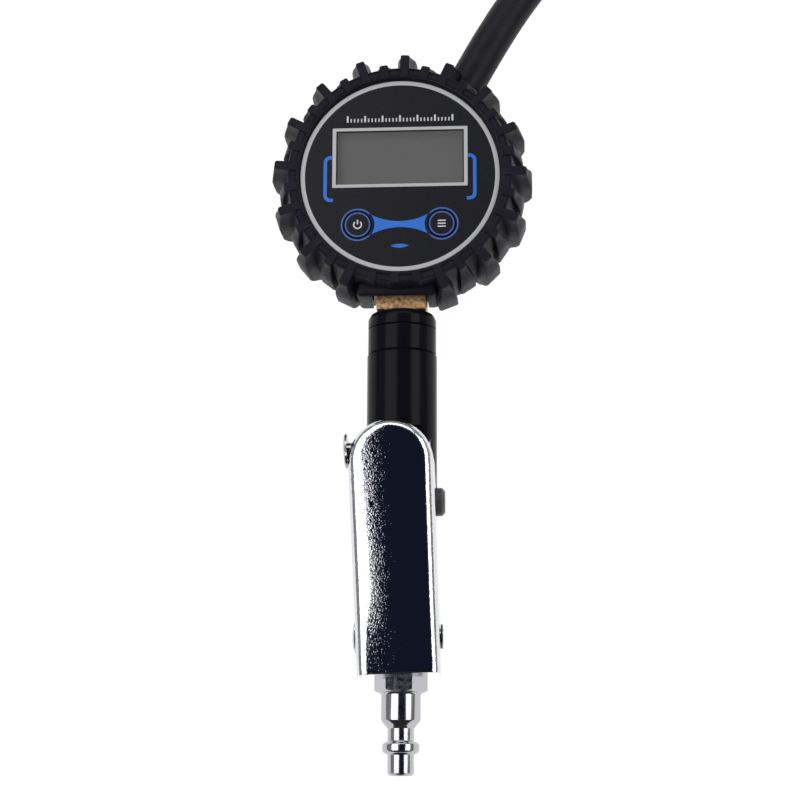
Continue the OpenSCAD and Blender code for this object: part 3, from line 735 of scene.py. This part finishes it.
# ---- Printing on the dial ----

# How far the print stands off the dial and where the buttons are, in millimetres
INK = 0.05
BUTTON_X = 13.1
BUTTON_Y = -16.0
# Outer and inner radius of each printed ring, and outer and inner width and height of the display's frame
DIAL_RING = (31.15, 29.8)
BUTTON_RING = (5.25, 4.8)
KEY_RING = (3.95, 3.55)
DISPLAY_Y = 6
DISPLAY_OUTER = (42.4, 19.6)
DISPLAY_INNER = (40.1, 17.6)


def printed(name, outlines, material, body="root", z=FACE_Z):
    """Thin raised prints: each outline is (outer loop, inner loop or None), in millimetres on the dial."""
    points, faces = [], []
    for outer, inner in outlines:
        start = len(points)
        n = len(outer)
        low, high = z / MM, z / MM + INK
        if inner is None:
            points += [(x, y, low) for x, y in outer] + [(x, y, high) for x, y in outer]
            faces.append([start + n + k for k in range(n)])
            faces += [(start + k, start + (k + 1) % n, start + n + (k + 1) % n, start + n + k)
                      for k in range(n)]
            faces.append([start + k for k in range(n)][::-1])
        else:
            for height in (low, high):
                points += [(x, y, height) for x, y in outer] + [(x, y, height) for x, y in inner]
            for k in range(n):
                m = (k + 1) % n
                a, b, c, d = start + k, start + m, start + n + m, start + n + k
                up = 2 * n
                faces += [(a + up, b + up, c + up, d + up), (d, c, b, a), (a, b, b + up, a + up),
                          (d + up, c + up, c, d)]
    piece = mesh_object(name, [DIAL + Vector(p) * MM for p in points], faces, 30)
    fix_normals(piece)
    piece.data.materials.append(material)
    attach(piece, body)


def circle(x, y, radius, count):
    return [(x + radius * math.cos(2 * math.pi * k / count), y + radius * math.sin(2 * math.pi * k / count))
            for k in range(count)]


def annulus(x, y, radii, count=96):
    return circle(x, y, radii[0], count), circle(x, y, radii[1], count)


def rectangle(x, y, width, height, corner=0.25):
    """A box with rounded corners, eight points each."""
    points = []
    for cx, cy, start in ((1, 1, 0), (-1, 1, 90), (-1, -1, 180), (1, -1, 270)):
        for k in range(8):
            angle = math.radians(start + 90 * k / 7)
            points.append((x + cx * (width / 2 - corner) + corner * math.cos(angle),
                           y + cy * (height / 2 - corner) + corner * math.sin(angle)))
    return points


def stroke(line, width):
    """A loop round an open line, with square ends."""
    half = width / 2
    left, right = [], []
    for i, point in enumerate(line):
        before = Vector(line[max(i - 1, 0)])
        after = Vector(line[min(i + 1, len(line) - 1)])
        way = (after - before).normalized()
        left.append((point[0] - way.y * half, point[1] + way.x * half))
        right.append((point[0] + way.y * half, point[1] - way.x * half))
    return left + right[::-1]


def bracket(side):
    """The blue bar beside the display: down from the display's frame, round two corners, and in again."""
    x, top, bottom, corner, width = 23.4, 6.15, -7.85, 1.6, 1.1
    top_end, bottom_end = 21.3, 20.9
    line = [(top_end, top)]
    for k in range(9):
        angle = math.radians(90 - 90 * k / 8)
        line.append((x - corner + corner * math.cos(angle), top - corner + corner * math.sin(angle)))
    for k in range(9):
        angle = math.radians(-90 * k / 8)
        line.append((x - corner + corner * math.cos(angle), bottom + corner + corner * math.sin(angle)))
    line.append((bottom_end, bottom))
    return stroke([(side * px, py) for px, py in line], width)


def bow_tie():
    """The blue waist between the two button rings."""
    radius = 4.85
    waist = 1.0
    reach_y = 4.2
    reach = BUTTON_X - math.sqrt(radius ** 2 - reach_y ** 2)

    def half_height(x):
        return waist + (reach_y - waist) * (abs(x) / reach) ** 2.1

    right_end = [(BUTTON_X - math.sqrt(radius ** 2 - y ** 2), y) for y in np.linspace(-reach_y, reach_y, 18)]
    top = [(x, half_height(x)) for x in np.linspace(reach, -reach, 40)[1:-1]]
    left_end = [(-x, -y) for x, y in right_end]
    bottom = [(x, -half_height(x)) for x in np.linspace(-reach, reach, 40)[1:-1]]
    loop = right_end + top + left_end + bottom
    return [(x, y + BUTTON_Y) for x, y in loop]


def lens_mark():
    """A plain pointed oval under the buttons."""
    half, rise, y = 2.85, 0.65, -23.0
    top = [(x, y + rise * (1 - (x / half) ** 2)) for x in np.linspace(half, -half, 24)]
    return top + [(x, 2 * y - py) for x, py in top[::-1][1:-1]]


def heading_ticks():
    """A plain row of scale ticks where the dial has its heading."""
    ticks = []
    for k in range(-15, 16):
        tall = k % 5 == 0
        height = 2.1 if tall else 1.2
        ticks.append((rectangle(k * 1.1, 17.7 + height / 2, 0.55 if tall else 0.38, height, 0.1), None))
    return ticks


def power_mark(x, y):
    """An open ring with a bar in its gap."""
    arc = [(x + 1.2 * math.sin(math.radians(a)), y + 1.2 * math.cos(math.radians(a)))
           for a in np.linspace(42, 318, 28)]
    return [(stroke(arc, 0.42), None), (rectangle(x, y + 0.85, 0.42, 1.5, 0.1), None)]


def menu_mark(x, y):
    """Three short bars."""
    return [(rectangle(x, y + step, 2.5, 0.42, 0.1), None) for step in (-0.95, 0.0, 0.95)]


def make_printing():
    printed("dial_ring", [annulus(0, 0, DIAL_RING, 160)], INK_SILVER)
    outer = rectangle(0, DISPLAY_Y, *DISPLAY_OUTER, 0.3)
    inner = rectangle(0, DISPLAY_Y, *DISPLAY_INNER, 0.12)
    printed("display_frame", [(outer, inner)], INK_SILVER)
    printed("side_brackets", [(bracket(s), None) for s in (-1, 1)], INK_BLUE)
    printed("button_rings", [annulus(s * BUTTON_X, BUTTON_Y, BUTTON_RING) for s in (-1, 1)],
            INK_LINE)
    printed("bow_tie", [(bow_tie(), None)], INK_BLUE)
    printed("lens_mark", [(lens_mark(), None)], INK_BLUE)
    printed("heading_ticks", heading_ticks(), INK_WHITE)
    for side, body, mark in ((-1, "power_key", power_mark), (1, "function_key", menu_mark)):
        x = side * BUTTON_X
        printed(body + "_ring", [annulus(x, BUTTON_Y, KEY_RING)], INK_LINE, body, BUTTON_TOP)
        printed(body + "_mark", mark(x, BUTTON_Y), INK_WHITE, body, BUTTON_TOP)


# ---- Floor and light ----

FLOOR_SIZE = 3.0
# How far the floor lies under the part, so that they share no plane
FLOOR_DROP = 0.0002


def make_floor():
    size = FLOOR_SIZE
    floor = mesh_object("floor", [(-size, -size, 0), (size, -size, 0), (size, size, 0), (-size, size, 0)],
                        [(0, 1, 2, 3)])
    paper = Material("floor_paper", (0.1, 0.1, 0.1), 0.9, specular=0.1)
    paper.set("Emission Color", (1, 1, 1, 1))
    paper.set("Emission Strength", 0.96)
    paper.bump(400, 0.02, 0.1)
    floor.data.materials.append(paper.material)
    floor.location.z = -FLOOR_DROP


def area_light(name, place, target, width, height, power):
    data = bpy.data.lights.new(name, "AREA")
    data.shape = "RECTANGLE"
    data.size = width
    data.size_y = height
    data.energy = power
    light = new_object(name, data)
    light.location = place
    light.rotation_mode = "QUATERNION"
    light.rotation_quaternion = (Vector(target) - Vector(place)).to_track_quat("-Z", "Y")


ZENITH = (0.008, 0.010, 0.022)
# Brightness of the walls from the horizon to overhead
WORLD_STOPS = [(0.0, 0.06), (0.06, 0.08), (0.16, 0.3), (0.55, 0.28), (0.72, 0.14), (0.85, 0.04),
               (0.93, ZENITH)]


def make_world():
    """A dim studio: a paler band half way up the walls, dark overhead and at the plug's end."""
    world = bpy.data.worlds.new("studio")
    world.use_nodes = True
    tree = world.node_tree
    tree.nodes.clear()
    coordinates = tree.nodes.new("ShaderNodeTexCoord")
    split = tree.nodes.new("ShaderNodeSeparateXYZ")
    ramp = tree.nodes.new("ShaderNodeValToRGB")
    background = tree.nodes.new("ShaderNodeBackground")
    output = tree.nodes.new("ShaderNodeOutputWorld")
    fill_ramp(ramp.color_ramp, WORLD_STOPS)
    tree.links.new(coordinates.outputs["Generated"], split.inputs["Vector"])
    tree.links.new(split.outputs["Z"], ramp.inputs["Fac"])
    tree.links.new(ramp.outputs["Color"], background.inputs["Color"])
    tree.links.new(background.outputs["Background"], output.inputs["Surface"])
    near_end = tree.nodes.new("ShaderNodeMapRange")
    near_end.inputs["From Min"].default_value = -0.75
    near_end.inputs["From Max"].default_value = -0.25
    near_end.inputs["To Min"].default_value = 0.12
    tree.links.new(split.outputs["Y"], near_end.inputs["Value"])
    tree.links.new(near_end.outputs["Result"], background.inputs["Strength"])
    SCENE.world = world


def make_lights():
    aim = (0, 0, AXIS_Z)
    area_light("left_box", (-0.6, 0.0, 0.93), aim, 1.6, 0.8, 9.5)
    area_light("right_box", (0.85, 0.0, 0.75), aim, 1.5, 0.6, 6.5)
    area_light("back_box", (0.0, 0.85, 0.78), aim, 1.2, 0.5, 3)


SCENE.view_settings.view_transform = "Standard"
make_camera()
make_hose()
make_floor()
make_world()
make_lights()
finish_cad_nodes()
squash_springs()
make_boot()
make_stem_pad()
make_lever()
make_printing()
